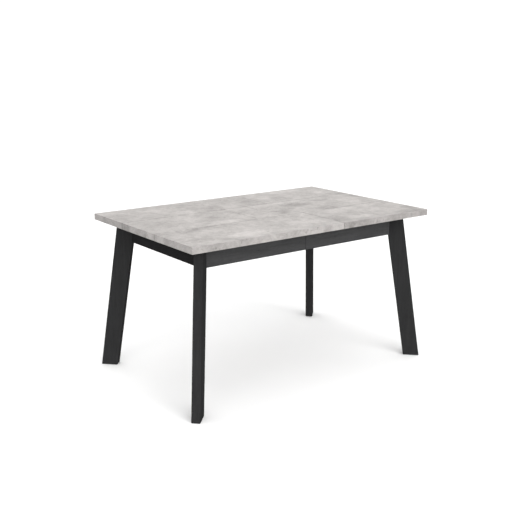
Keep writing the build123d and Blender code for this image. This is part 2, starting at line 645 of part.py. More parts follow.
# ---------------------------------------------------------------- locks under the joint
def lock_plate(side, sx, y):
    """A screwed plate under the top with a headed stud standing down from it."""
    name = "lock_plates_" + side
    stud_x = sx * LOCK_SPAN / 2
    near, far = stud_x - sx * LOCK_PLATE_W / 2, stud_x + sx * (LOCK_PLATE_L - LOCK_PLATE_W / 2)
    across = (y - LOCK_PLATE_W / 2, y + LOCK_PLATE_W / 2)
    plate = block((near, far), across, (UNDER_TOP - LOCK_PLATE_T, UNDER_TOP))
    plate = fillet(plate.edges().filter_by(Axis.Z), LOCK_PLATE_ROUND)
    under = UNDER_TOP - LOCK_PLATE_T
    shank = LOCK_ARM_T + 2 * LOCK_PLAY
    stud = rod((stud_x, y, under), (0, 0, -1), shank, LOCK_STUD_R)
    head = rod((stud_x, y, under - shank), (0, 0, -1), LOCK_HEAD_T, LOCK_HEAD_R)
    add(name, plate + stud + head)
    for off in (-LOCK_SCREW_APART / 2, LOCK_SCREW_APART / 2):
        seat = (far - sx * LOCK_SCREW_FROM_END, y + off, under)
        screw("wood_screws_" + side, seat, (0, 0, 1), [name, "top_" + side])


def lock_lever(row, sy):
    """A lever on the left half's stud that hooks over the right half's stud.  It is drawn open,
    pointing at the middle of the table: a quarter turn brings its notch over the other stud."""
    y = sy * LOCK_Y
    half_w, catch = LOCK_ARM_W / 2, LOCK_STUD_R + LOCK_CATCH
    bar = Pos(LOCK_SPAN / 2, 0) * SlotCenterToCenter(LOCK_SPAN, LOCK_ARM_W)
    mouth = Polyline(
        (LOCK_SPAN - catch, 0),
        (LOCK_SPAN + catch, 0),
        (LOCK_SPAN + catch, LOCK_ARM_W),
        (LOCK_SPAN - catch - LOCK_MOUTH, LOCK_ARM_W),
        close=True,
    )
    flat = bar - make_face(mouth) - Pos(LOCK_SPAN, 0) * Circle(catch)
    flat -= Circle(LOCK_STUD_R + SNUG)
    lever = extrude(flat, LOCK_ARM_T, dir=(0, 0, 1))
    tab_x = ((LOCK_SPAN - LOCK_TAB_L) / 2, (LOCK_SPAN + LOCK_TAB_L) / 2)
    lever += block(tab_x, (-half_w, -half_w + LOCK_TAB_T), (-LOCK_TAB_H, LOCK_ARM_T))
    if sy < 0:
        lever = mirror(lever, Plane.XZ)
    low = UNDER_TOP - LOCK_PLATE_T - LOCK_PLAY - LOCK_ARM_T
    add("lock_lever_" + row, Pos(-LOCK_SPAN / 2, y, low) * Rot(0, 0, -90 * sy) * lever)


# ---------------------------------------------------------------- assembly
def build():
    for side, sx in SIDES.items():
        top_half(side, sx)
        end_apron(side, sx)
        for row, sy in ROWS.items():
            corner = f"{row}_{side}"
            long_apron(side, sx, row, sy)
            leg(corner, sx, sy)
            corner_block("corner_blocks_" + side, sx, sy)
            hanger_bolts(corner, side, sx, sy)
            slide_member(side, sx, row, sy)
        brackets(side, sx)
    top_dowels()
    for row, sy in ROWS.items():
        centre_runner(row, sy * SLIDE_Y)
        pinion("pinion_" + row, sy * SLIDE_Y)
        lock_lever(row, sy)
        for side, sx in SIDES.items():
            lock_plate(side, sx, sy * LOCK_Y)
    leaf_carrier()
    for number in range(1, LEAF_COUNT + 1):
        leaf(number)


def write():
    os.makedirs("parts", exist_ok=True)
    for name, solids in pieces.items():
        finished = []
        for solid in solids:
            box = solid.bounding_box()
            for cutter in cuts.get(name, []):
                if box.overlaps(cutter.bounding_box()):
                    solid = solid - cutter
            finished += solid.solids()
        export_step(Compound(children=finished), f"parts/{name}.step")


build()
write()
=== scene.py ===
import math

import bpy
import numpy as np
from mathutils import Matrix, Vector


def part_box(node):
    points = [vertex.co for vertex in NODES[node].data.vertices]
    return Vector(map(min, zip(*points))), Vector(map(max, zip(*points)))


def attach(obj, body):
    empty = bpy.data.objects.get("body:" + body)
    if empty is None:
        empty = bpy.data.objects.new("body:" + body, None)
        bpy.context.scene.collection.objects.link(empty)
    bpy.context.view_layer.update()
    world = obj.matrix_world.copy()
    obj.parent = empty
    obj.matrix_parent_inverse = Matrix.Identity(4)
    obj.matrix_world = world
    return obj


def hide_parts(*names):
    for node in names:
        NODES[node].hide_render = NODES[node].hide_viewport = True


bl_info = {
    "name": "Extendable dining table",
    "version": (1, 0, 0),
    "blender": (4, 5, 0),
    "location": "View3D > Sidebar > Table",
    "description": "Finishes, turned parts and studio for an extendable dining table",
    "category": "Object",
}

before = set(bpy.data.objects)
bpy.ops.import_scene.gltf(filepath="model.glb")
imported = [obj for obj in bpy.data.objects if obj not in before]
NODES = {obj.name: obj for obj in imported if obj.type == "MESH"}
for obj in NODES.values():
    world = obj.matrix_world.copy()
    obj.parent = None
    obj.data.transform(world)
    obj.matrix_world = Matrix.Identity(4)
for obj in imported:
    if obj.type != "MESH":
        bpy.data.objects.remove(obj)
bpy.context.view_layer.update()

# Soft round lights in the sky: heading clockwise from +Y, height above the horizon, and the two
# radii between which the light fades, all in degrees.  The studio's settings hold their strengths.
LIGHTS = {
    "overhead": (0, 90, 15, 40),
    "rear": (0, 70, 10, 30),
    "front": (180, 30, 10, 30),
    "key": (225, 30, 10, 30),
}
# The horizon's extra light fades between these heights, as shares of straight up.
HORIZON_FADE = (0.08, 0.24)
SENSOR_WIDTH = 36.0  # of the camera, in millimetres

# Printed panels of the top: two joints along its length, at these y, and one short joint in each
# of the three bands that they leave, at these x.
PANEL_ROWS = (-0.143, 0.158)
PANEL_JOINTS = (0.135, -0.133, 0.144)
# How much lighter the panels before and after each short joint are, on the top and on its edges.
TOP_SHADES = ((0.03, -0.02), (0.0, 0.0), (-0.01, 0.03))
EDGE_SHADES = ((0.06, -0.08), (0.04, -0.04), (-0.06, 0.06))
PAST_EDGE = 1.0  # metres from the middle, further than any edge of a board
CLOUD_CORE, CLOUD_RIM = 0.35, 1.15  # where a cloud starts to fade and where it ends, in half sizes

# Patterns drawn out along the grain: their size across it over their size along it.
LACQUER_DRAW = 0.06
BATTEN_DRAW = 0.05
BLOCK_DRAW = 0.08

FOOT_WEAR_HEIGHT = 0.07  # metres up the legs
DOWELS_PER_EDGE = 3
DOWEL_NOSE = 0.0015  # radius of a dowel's rounded ends
NOSE_RINGS = 5
THREAD_AROUND, THREAD_RINGS = 20, 6  # points round a rod, and rings for each turn of its thread
THREAD_DEPTH = 0.55  # of the pitch
THREAD_SLOPE, THREAD_ROOT = 2.4, 0.15  # flank of the zigzag, and the height where its root is cut
ROD_TIP = 0.75  # radius of a chamfered rod's tip, as a share of the rod's
CREASE = math.radians(32)  # edges sharper than this stay sharp

# Placed clouds of the decor: x, y, half length, half depth, weight (below 0 is darker).
CLOUDS = (
    (0.24, 0.04, 0.11, 0.055, -1.5),
    (0.07, -0.06, 0.06, 0.05, -1.4),
    (0.14, -0.02, 0.06, 0.03, -0.8),
    (0.43, 0.07, 0.07, 0.04, -0.9),
    (0.67, 0.06, 0.05, 0.06, -1.1),
    (0.60, -0.42, 0.12, 0.05, -1.1),
    (0.67, -0.35, 0.06, 0.06, -0.8),
    (0.18, -0.37, 0.07, 0.07, -0.9),
    (-0.25, 0.36, 0.07, 0.05, -0.7),
    (-0.64, 0.28, 0.08, 0.09, -0.6),
    (-0.16, 0.21, 0.07, 0.12, -0.8),
    (0.07, 0.23, 0.07, 0.07, -0.7),
    (-0.28, 0.02, 0.04, 0.07, -0.8),
    (-0.47, -0.17, 0.24, 0.03, -0.9),
    (-0.58, -0.35, 0.10, 0.04, -0.6),
    (-0.60, 0.04, 0.08, 0.07, -0.5),
    (0.33, -0.10, 0.12, 0.05, -0.5),
    (0.30, 0.25, 0.08, 0.06, -0.6),
    (0.64, 0.19, 0.09, 0.04, -0.6),
    (-0.17, -0.27, 0.05, 0.06, -0.5),
    (-0.41, 0.32, 0.07, 0.11, 0.8),
    (-0.33, 0.21, 0.08, 0.05, 0.7),
    (-0.41, 0.06, 0.07, 0.09, 0.9),
    (-0.31, -0.10, 0.12, 0.04, 1.1),
    (-0.16, -0.05, 0.05, 0.08, 0.6),
    (0.05, 0.12, 0.20, 0.035, 0.8),
    (0.24, 0.13, 0.12, 0.025, 0.7),
    (-0.01, -0.12, 0.05, 0.04, 0.8),
    (-0.44, -0.21, 0.06, 0.06, 0.7),
    (-0.33, -0.37, 0.13, 0.07, 1.1),
    (0.00, -0.34, 0.12, 0.08, 0.9),
    (0.33, -0.20, 0.12, 0.06, 0.9),
    (0.32, -0.38, 0.08, 0.05, 1.0),
    (0.47, -0.27, 0.08, 0.06, 0.8),
    (0.55, -0.04, 0.06, 0.09, 0.9),
    (0.61, 0.26, 0.07, 0.05, 0.8),
    (0.42, 0.40, 0.16, 0.05, 1.1),
    (0.22, 0.33, 0.06, 0.10, 0.8),
    (-0.55, -0.10, 0.16, 0.05, 0.9),
    (0.46, -0.18, 0.20, 0.04, 0.6),
)
EDGE_CLOUDS = (
    (-0.70, 0.12, 0.03, 0.04, -1.4),
    (-0.70, 0.01, 0.03, 0.03, -0.8),
    (-0.70, -0.09, 0.03, 0.03, 0.9),
    (-0.70, -0.19, 0.03, 0.04, 1.2),
    (-0.70, 0.33, 0.03, 0.05, -0.8),
    (-0.58, -0.45, 0.04, 0.03, -0.8),
    (-0.30, -0.45, 0.06, 0.03, 0.7),
    (-0.05, -0.45, 0.08, 0.03, 0.6),
    (0.09, -0.45, 0.04, 0.03, 1.0),
    (0.18, -0.45, 0.03, 0.03, -1.0),
    (0.36, -0.45, 0.06, 0.03, 0.6),
    (0.60, -0.45, 0.06, 0.03, 0.5),
)


# ---------------------------------------------------------------- shader maths
class Wire:
    """One value in a material.  Arithmetic on it adds Math nodes."""

    def __init__(self, finish, socket):
        self.finish = finish
        self.socket = socket

    def math(self, operation, *values, clamp=False):
        sockets = dict(enumerate((self, *values)))
        settings = {"operation": operation, "use_clamp": clamp}
        return self.finish.node("ShaderNodeMath", settings, sockets)

    def __add__(self, other):
        return self.math("ADD", other)

    def __sub__(self, other):
        return self.math("SUBTRACT", other)

    def __mul__(self, other):
        return self.math("MULTIPLY", other)

    def __truediv__(self, other):
        return self.math("DIVIDE", other)

    def __gt__(self, other):
        return self.math("GREATER_THAN", other)

    def __lt__(self, other):
        return self.math("LESS_THAN", other)

    def __neg__(self):
        return self.math("MULTIPLY", -1.0)

    def __abs__(self):
        return self.math("ABSOLUTE")

    def __rsub__(self, other):
        return -self + other

    __radd__ = __add__

    def clamped(self):
        return self.math("ADD", 0.0, clamp=True)

    def sway(self, weight):
        """How far a value between 0 and 1 lies from its middle, times a weight."""
        return (self - 0.5) * weight

    def ease(self, low, high):
        """0 below low and 1 above high, with a smooth rise between them."""
        settings = {"interpolation_type": "SMOOTHSTEP"}
        sockets = {"Value": self, "From Min": low, "From Max": high}
        return self.finish.node("ShaderNodeMapRange", settings, sockets)

    def fade(self, low, high):
        """1 below low and 0 above high, with a smooth fall between them."""
        return 1 - self.ease(low, high)


class Finish:
    """The nodes of a material, or of the studio's sky, while they are being put together."""

    def __init__(self, name, owners="materials", place="Object"):
        self.owner = getattr(bpy.data, owners).new(name)
        self.owner.use_nodes = True
        self.tree = self.owner.node_tree
        self.tree.nodes.clear()
        self.place = self.node("ShaderNodeTexCoord", out=place)
        self.x, self.y, self.z = self.split(self.place)

    def node(self, kind, settings=(), sockets=(), out=0):
        """Adds a node.  Settings come first, then each socket's value or link; out picks the output."""
        made = self.tree.nodes.new(kind)
        for key, value in dict(settings).items():
            setattr(made, key, value)
        for key, value in dict(sockets).items():
            named = [s for s in made.inputs if s.enabled and s.name == key]
            socket = named[0] if named else made.inputs[key]
            if isinstance(value, Wire):
                self.tree.links.new(value.socket, socket)
            else:
                socket.default_value = value
        shown = [s for s in made.outputs if s.enabled]
        chosen = shown[out] if isinstance(out, int) else made.outputs[out]
        return Wire(self, chosen)

    def split(self, vector):
        """The three parts of a vector."""
        parts = self.node("ShaderNodeSeparateXYZ", sockets={0: vector})
        return [Wire(self, socket) for socket in parts.socket.node.outputs]

    def vector(self, operation, *values, out=0):
        """Adds a Vector Math node, whose inputs are taken in order."""
        settings = {"operation": operation}
        return self.node("ShaderNodeVectorMath", settings, dict(enumerate(values)), out)

    def mapped(self, scale, turn=(0, 0, 0)):
        """Object coordinates scaled and turned, for grain that runs one way."""
        sockets = {"Vector": self.place, "Scale": scale, "Rotation": turn}
        return self.node("ShaderNodeMapping", sockets=sockets)

    def noise(self, scale, detail=3.0, rough=0.5, warp=0.0, place=None, out="Fac"):
        """Soft noise between 0 and 1, with about scale waves to a metre."""
        sockets = {
            "Vector": place or self.place,
            "Scale": scale,
            "Detail": detail,
            "Roughness": rough,
            "Distortion": warp,
        }
        return self.node("ShaderNodeTexNoise", sockets=sockets, out=out)

    def cells(self, scale, out="Distance"):
        """Scattered cells, about scale to a metre: the distance to the nearest, or its colour."""
        sockets = {"Vector": self.place, "Scale": scale}
        return self.node("ShaderNodeTexVoronoi", sockets=sockets, out=out)

    def mix(self, part, first, second, blend="MIX"):
        """The first colour where part is 0, and the second blended over it where part is 1."""
        settings = {"data_type": "RGBA", "blend_type": blend}
        return self.node("ShaderNodeMix", settings, {"Factor": part, "A": first, "B": second})

    def bump(self, height, depth, strength):
        """Surface relief, where a height of 1 stands depth metres above a height of 0."""
        sockets = {"Height": height, "Distance": depth, "Strength": strength}
        return self.node("ShaderNodeBump", sockets=sockets)

    def surface(self, **sockets):
        """Ends the material with a Principled surface.  Socket names use _ for a space."""
        named = {key.replace("_", " "): value for key, value in sockets.items()}
        shader = self.node("ShaderNodeBsdfPrincipled", sockets=named)
        self.end(shader)
        return self.owner

    def end(self, shader, kind="ShaderNodeOutputMaterial"):
        """Joins the last shader to the output."""
        made = self.tree.nodes.new(kind)
        self.tree.links.new(shader.socket, made.inputs["Surface"])


def rgb(colour, tone=1.0):
    """A colour property, made darker or lighter by a tone, as the four numbers a socket takes."""
    return (*(part * tone for part in colour), 1.0)


def drawn_out(axis, draw):
    """Scales for a pattern that is drawn out along one axis."""
    return tuple(draw if name == axis else 1.0 for name in "xyz")


# ---------------------------------------------------------------- finishes
def cloud_field(f, clouds, wander):
    """Adds soft oval clouds: each eases from 1 inside to 0 at its rim, times its weight, and is
    looked up at a place that noise has pushed about, so that its outline wanders."""
    stray = f.noise(11.0, detail=3.0, rough=0.7, out="Color")
    moved = f.vector("MULTIPLY_ADD", stray, (wander,) * 3, (-wander / 2,) * 3)
    pushed = f.vector("ADD", f.place, moved)
    total = 0.0
    for x, y, wide, deep, weight in clouds:
        middle = (-x / wide, -y / deep, 0)
        offset = f.vector("MULTIPLY_ADD", pushed, (1 / wide, 1 / deep, 0), middle)
        span = f.vector("LENGTH", offset, out="Value")
        total = span.fade(CLOUD_CORE, CLOUD_RIM).math("MULTIPLY_ADD", weight, total)
    return total


def panel_print(f, look, run, across, rows, joints, shades):
    """The print of the panels: how much lighter each one is, and the joints between them.  A joint
    is darkest in its middle, strays a little from straight, and is worn away in places."""
    wander = f.noise(16.0, detail=2.0).sway(look.joint_wander)

    def line(along, place):
        return (1 - abs(along + wander - place) / look.joint_width).clamped()

    lines, tones = [], []
    bands = zip((-PAST_EDGE, *rows), (*rows, PAST_EDGE))
    for (low, high), place, (before, after) in zip(bands, joints, shades):
        in_band = (across > low) * (across < high)
        tones.append(in_band * (before + (run > place) * (after - before)))
        lines.append(line(run, place) * in_band)
    lines += [line(across, place) for place in rows]
    seam = lines[0]
    for other in lines[1:]:
        seam = seam.math("MAXIMUM", other)
    worn = f.noise(38.0, detail=2.0).ease(0.36, 0.6) * 0.6 + f.noise(5.0).ease(0.4, 0.6) * 0.4
    return tones, seam * worn


def concrete(name, look, tone=1.0, clouds=(), rows=(), joints=(), shades=(), along="x"):
    """Concrete-look laminate: mottling at every scale from a hand's width to sand, a few placed
    clouds, dark pits and pale scuffs, printed as panels with thin joints.  rows are the joints
    that run the whole length, joints the short ones between them, and shades the tone of the
    panel before and after each short joint.  Paper backs the underside."""
    f = Finish(name)
    run, across = (f.x, f.y) if along == "x" else (f.y, f.x)
    mottle = f.noise(7.0, detail=7.0, rough=0.94, warp=0.25)
    blots = f.noise(24.0, detail=4.0, rough=0.7, warp=0.5)
    trowel = f.noise(9.0, detail=3.0, rough=0.6, place=f.mapped((1.0, 5.0, 5.0), (0, 0, 0.4)))
    sand = f.noise(200.0, detail=4.0, rough=0.8)
    pits = f.noise(70.0, detail=2.0, rough=0.6).ease(0.62, 0.76)
    pores = (0.16 - f.cells(150.0)).math("MULTIPLY", 9.0, clamp=True)
    pores = pores * f.noise(22.0, detail=2.0).ease(0.55, 0.7)
    scuffs = f.noise(30.0, detail=4.0, rough=0.7, place=f.mapped((1.0, 1.6, 1.0))).ease(0.6, 0.75)
    tones, seam = panel_print(f, look, run, across, rows, joints, shades)

    level = mottle.sway(look.mottling) + trowel.sway(look.trowelling)
    level = level + blots.ease(0.44, 0.56).sway(look.blotting)
    if clouds:
        level = level + cloud_field(f, clouds, look.cloud_wander) * look.cloudiness
    for panel in tones:
        level = level + panel
    level = level - seam * look.joint_depth - pits * look.pitting + scuffs * look.scuffing
    level = level + sand.sway(look.sand) - pores * look.pitting
    colour = f.mix((level + 0.5).clamped(), rgb(look.dark, tone), rgb(look.light, tone))
    underneath = f.split(f.node("ShaderNodeNewGeometry", out="Normal"))[2] < -0.9
    paper = f.mix(f.noise(400.0, detail=2.0), rgb(look.backing), rgb(look.backing_fleck))
    relief = sand.sway(0.4) + blots.sway(0.6) - pores - pits * 0.5 - seam * 0.7
    return f.surface(
        Base_Color=f.mix(underneath, colour, paper),
        Roughness=(look.roughness + mottle.sway(0.2) + sand.sway(0.08)).clamped(),
        Normal=f.bump(relief, look.relief, 0.35),
        Specular_IOR_Level=look.specular,
    )


def lacquer(name, look, tone, axis, scuffed=False):
    """Matt black lacquer over open-grained wood: growth lines show as broad soft streaks, pores as
    short dark dashes, and the coat lies a little thicker in places.  The grain runs along the
    axis; the feet may be scuffed."""
    f = Finish(name)
    drawn = f.mapped(drawn_out(axis, LACQUER_DRAW))
    grain = f.noise(90.0, detail=4.0, rough=0.65, warp=0.3, place=drawn)
    growth = (f.noise(16.0, detail=2.0, warp=0.8, place=drawn) * 30.0).math("SINE") * 0.5
    pores = f.noise(760.0, detail=2.0, place=drawn).ease(0.56, 0.68)
    thick = f.noise(7.0, detail=3.0)
    dust = f.cells(420.0).ease(0.0, 0.12)
    pale = thick.sway(0.5) + grain.sway(0.8) + growth * look.growth - pores * look.pores + 0.55
    if scuffed:
        low = (FOOT_WEAR_HEIGHT - f.z).math("MULTIPLY", 1 / FOOT_WEAR_HEIGHT, clamp=True)
        pale = pale + low * f.noise(60.0, detail=4.0).ease(0.52, 0.7) * 0.6
    relief = grain * 0.5 + growth * 0.4 - pores * 0.7 + thick * 0.5 + dust * 0.15
    # tone scales the colour part by part: painted light and shade on one lacquer.
    dark, light = rgb(look.colour, tone * 0.7), rgb(look.colour, tone * 1.34)
    return f.surface(
        Base_Color=f.mix(pale.clamped(), dark, light),
        Roughness=(look.roughness + thick.sway(0.14) + grain.sway(0.1)).clamped(),
        Normal=f.bump(relief, look.grain_depth, 0.7),
        Specular_IOR_Level=look.specular,
    )


def extruded(name, look):
    """Natural aluminium drawn along X: die lines, and a thin grey film where grease has been."""
    f = Finish(name)
    lines = f.noise(5.0, detail=4.0, rough=0.7, place=f.mapped((0.5, 160.0, 160.0)))
    film = f.noise(11.0, detail=3.0).ease(0.45, 0.75)
    return f.surface(
        Base_Color=f.mix(film, rgb(look.aluminium), rgb(look.aluminium, 0.78)),
        Roughness=(lines * 0.16 + film * 0.12 + 0.3).clamped(),
        Metallic=1.0,
        Normal=f.bump(lines, 0.00004, 0.6),
    )


def plated(name, look):
    """Zinc-plated steel: faint crystal patches and dull, rubbed spots."""
    f = Finish(name)
    patches = f.cells(700.0, out="Color")
    rubbed = f.noise(160.0, detail=3.0)
    plain = f.mix(rubbed, rgb(look.zinc, 0.8), rgb(look.zinc))
    return f.surface(
        Base_Color=f.mix(0.08, plain, patches, "SOFT_LIGHT"),
        Roughness=(rubbed * 0.3 + 0.24).clamped(),
        Metallic=1.0,
        Normal=f.bump(rubbed, 0.00003, 0.5),
    )


def moulded(name, colour):
    """Moulded nylon: a dull sparked texture and slight flow marks."""
    f = Finish(name)
    spark = f.noise(1400.0, detail=2.0, rough=0.6)
    flow = f.noise(60.0, detail=2.0, warp=1.0)
    return f.surface(
        Base_Color=f.mix(flow, rgb(colour, 0.85), rgb(colour, 1.2)),
        Roughness=(flow * 0.18 + 0.42).clamped(),
        Normal=f.bump(spark, 0.00003, 0.5),
    )


def timber(name, look, scale):
    """Planed, unfinished hardwood: long growth lines, short pores and cutter waves.  scale draws
    the pattern out along the grain."""
    f = Finish(name)
    drawn = f.mapped(scale)
    growth = f.noise(26.0, detail=3.0, rough=0.55, warp=1.2, place=drawn)
    rings = (growth * 34.0).math("SINE") * 0.5 + 0.5
    pores = f.noise(900.0, detail=2.0, place=drawn).ease(0.6, 0.72)
    pale = (rings * 0.55 + f.noise(9.0, detail=2.0) * 0.45).clamped()
    colour = f.mix(pale, rgb(look.timber_dark), rgb(look.timber_light))
    return f.surface(
        Base_Color=f.mix(pores * 0.45, colour, rgb(look.timber_dark, 0.4)),
        Roughness=(0.72 - rings * 0.12 + pores * 0.1).clamped(),
        Normal=f.bump(rings * 0.3 - pores, 0.00008, 0.6),
        Specular_IOR_Level=0.3,
    )


def coat(prefixes, material):
    """Puts a material on every slot of each CAD piece whose name starts with a prefix."""
    found = [node for name, node in NODES.items() if name.startswith(prefixes)]
    if not found:
        raise RuntimeError(f"no piece is named {prefixes}")
    for node in found:
        for slot in node.material_slots:
            slot.material = material


# ---------------------------------------------------------------- turned pieces
def swept(points):
    """Vertices, quads and triangles of a tube given as rings of points (ring, angle, xyz): the
    quads wrap round the angle, and triangles close each end on a point at its ring's middle."""
    rings, around = points.shape[:2]
    k, a = np.meshgrid(np.arange(rings - 1), np.arange(around), indexing="ij")
    b = (a + 1) % around
    quads = np.stack((k * around + a, k * around + b, (k + 1) * around + b, (k + 1) * around + a), -1)
    first, last = rings * around, rings * around + 1
    ring = np.arange(around)
    after = (ring + 1) % around
    start = np.stack((np.full(around, first), after, ring), -1)
    end_ring = (rings - 1) * around
    end = np.stack((np.full(around, last), end_ring + ring, end_ring + after), -1)
    ends = points[[0, -1]].mean(axis=1)
    vertices = np.concatenate((points.reshape(-1, 3), ends))
    return vertices, quads.reshape(-1, 4), np.concatenate((start, end))


def turned(start, direction, along, radius):
    """Rings of points about an axis: start + direction * along + radius(angle) outwards.
    along has one entry a ring, and radius is an array of rings by angles."""
    way = np.array(direction, float)
    way /= np.linalg.norm(way)
    side = np.cross(way, (0.0, 0.0, 1.0))
    side /= np.linalg.norm(side)
    up = np.cross(side, way)
    angle = np.linspace(0, 2 * np.pi, radius.shape[1], endpoint=False)
    spoke = np.cos(angle)[:, None] * side + np.sin(angle)[:, None] * -up
    centre = np.array(start, float) + along[:, None] * way
    return centre[:, None, :] + radius[..., None] * spoke[None]


def make_piece(name, shapes, body, replaced, material):
    """Joins several swept shapes into one smooth object that rides on a body."""
    vertices, quads, triangles = zip(*shapes)
    first = np.cumsum([0, *map(len, vertices)])
    faces = []
    for kind in (quads, triangles):
        faces += np.concatenate([face + start for face, start in zip(kind, first)]).tolist()
    mesh = bpy.data.meshes.new(name)
    mesh.from_pydata(np.concatenate(vertices).tolist(), [], faces)
    mesh.validate()
    mesh.shade_smooth()
    mesh.set_sharp_from_angle(angle=CREASE)
    mesh.materials.append(material)
    piece = bpy.data.objects.new(name, mesh)
    bpy.context.scene.collection.objects.link(piece)
    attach(piece, body)
    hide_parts(replaced)


def threaded_rod(start, direction, length, radius, pitch):
    """A threaded rod: the radius falls by the thread's depth as a zigzag, cut off at its crest and
    root, of distance / pitch - angle / turn.  Both ends are chamfered."""
    along = np.linspace(0, length, int(length / pitch * THREAD_RINGS))
    angle = np.linspace(0, 1, THREAD_AROUND, endpoint=False)
    phase = (along[:, None] / pitch - angle[None]) % 1.0
    ridge = np.clip(np.abs(phase - 0.5) * THREAD_SLOPE, THREAD_ROOT, 1.0)
    radii = radius - THREAD_DEPTH * pitch * (1 - ridge)
    chamfer = np.minimum(along, length - along)[:, None] + radius * ROD_TIP
    return swept(turned(start, direction, along, np.minimum(radii, chamfer)))


def fluted_dowel(start, direction, length, radius, look):
    """A dowel whose radius dips in a ring of fine flutes, as |sin(flutes * angle / 2)|, with its
    ends rounded as a quarter of a circle."""
    ease = np.sin(np.linspace(0, math.pi / 2, NOSE_RINGS))
    along = np.concatenate((DOWEL_NOSE * (1 - ease[::-1]), length - DOWEL_NOSE * (1 - ease)))
    angle = np.linspace(0, 2 * np.pi, look.flutes * 4, endpoint=False)
    flute = 1 - look.flute_depth / radius * np.abs(np.sin(angle * look.flutes / 2))
    edge = np.minimum(along, length - along).clip(0, DOWEL_NOSE)
    end = radius - DOWEL_NOSE + np.sqrt(DOWEL_NOSE**2 - (DOWEL_NOSE - edge) ** 2)
    return swept(turned(start, direction, along, end[:, None] * flute[None]))


# ---------------------------------------------------------------- settings
def shade(name, description, default):
    """A colour property."""
    return bpy.props.FloatVectorProperty(
        name=name, description=description, subtype="COLOR", size=3, min=0, max=1, default=default
    )


def share(name, description, default, top=1.0):
    """A plain number property, from 0 up."""
    return bpy.props.FloatProperty(
        name=name, description=description, default=default, min=0, max=top, precision=3
    )


def size(name, description, default):
    """A length property, in metres."""
    return bpy.props.FloatProperty(
        name=name, description=description, default=default, min=0, unit="LENGTH", precision=4
    )


class TABLE_PG_decor(bpy.types.PropertyGroup):
    """Colours and strengths of the concrete decor"""

    light: shade("Light", "Colour of the palest concrete", (0.54, 0.513, 0.496))
    dark: shade("Dark", "Colour of the darkest concrete", (0.21, 0.198, 0.190))
    backing: shade("Backing", "Colour of the paper on the underside", (0.44, 0.43, 0.41))
    backing_fleck: shade("Backing fleck", "Flecks in that paper", (0.37, 0.36, 0.34))
    # Painted shade: the edge strips of the top and of the leaves print the same decor darker, because
    # their upright sides get less light.
    edge_painted_shade: share("Edge painted shade", "Lightness of the edge strips beside the top", 0.735, 2)
    mottling: share("Mottling", "Strength of the random clouds", 1.55, 3)
    trowelling: share("Trowelling", "Strength of the long, faint trowel marks", 0.25, 3)
    blotting: share("Blotting", "Strength of the crisp-edged blots", 0.14, 3)
    cloudiness: share("Cloudiness", "Strength of the placed clouds", 0.19, 3)
    cloud_wander: size("Cloud wander", "How far a placed cloud's outline wanders", 0.09)
    pitting: share("Pitting", "Strength of the small dark pits", 0.34, 3)
    scuffing: share("Scuffing", "Strength of the small pale scuffs", 0.14, 3)
    sand: share("Sand", "Strength of the fine grain", 0.26, 3)
    roughness: share("Roughness", "How matt the laminate is", 0.55)
    specular: share("Specular", "Strength of the laminate's sheen", 0.25)
    panel_width: size("Panel width", "Width of a printed panel on the leaves", 0.3)
    joint_width: size("Joint width", "Half width of a printed joint", 0.0045)
    joint_wander: size("Joint wander", "How far a printed joint strays from straight", 0.006)
    joint_depth: share("Joint depth", "How dark a printed joint is", 1.1, 3)
    relief: size("Relief", "Depth of the pressed texture", 0.00025)


class TABLE_PG_lacquer(bpy.types.PropertyGroup):
    """Colours of the black lacquer on legs and aprons"""

    colour: shade("Colour", "Colour of the lacquer", (0.046, 0.046, 0.047))
    roughness: share("Roughness", "How dull the lacquer is", 0.55)
    specular: share("Specular", "Strength of the sheen", 0.0)
    growth: share("Growth lines", "Strength of the broad streaks", 0.12, 2)
    pores: share("Pores", "Darkness of the pores", 0.35, 2)
    grain_depth: size("Grain depth", "Depth of the grain under the coat", 0.00025)
    # Painted light and shade: the legs and aprons carry one lacquer. Its colour is scaled lighter on the
    # long aprons and darker on the legs and the end aprons.
    leg_painted_shade: share("Leg painted shade", "Lightness of the legs", 0.49, 4)
    long_painted_light: share("Long apron painted light", "Lightness of the long aprons", 1.03, 4)
    end_painted_shade: share("End apron painted shade", "Lightness of the end aprons", 0.35, 4)


class TABLE_PG_fittings(bpy.types.PropertyGroup):
    """Colours and sizes of the slides, fixings and hidden wood"""

    aluminium: shade("Aluminium", "Colour of the slides", (0.42, 0.425, 0.435))
    zinc: shade("Zinc", "Colour of plated steel", (0.60, 0.60, 0.57))
    nylon: shade("Nylon", "Colour of pads, shoes, caps and gears", (0.035, 0.035, 0.037))
    timber_light: shade("Pale wood", "Palest hardwood", (0.60, 0.42, 0.25))
    timber_dark: shade("Dark wood", "Darkest hardwood", (0.44, 0.28, 0.155))
    thread_pitch: size("Thread pitch", "Pitch of the hanger bolts", 0.00125)
    bolt_radius: size("Bolt radius", "Radius of the hanger bolts", 0.004)
    flutes: bpy.props.IntProperty(
        name="Flutes", description="Flutes round a dowel", default=16, min=6, max=40
    )
    flute_depth: size("Flute depth", "Depth of a dowel's flutes", 0.0003)


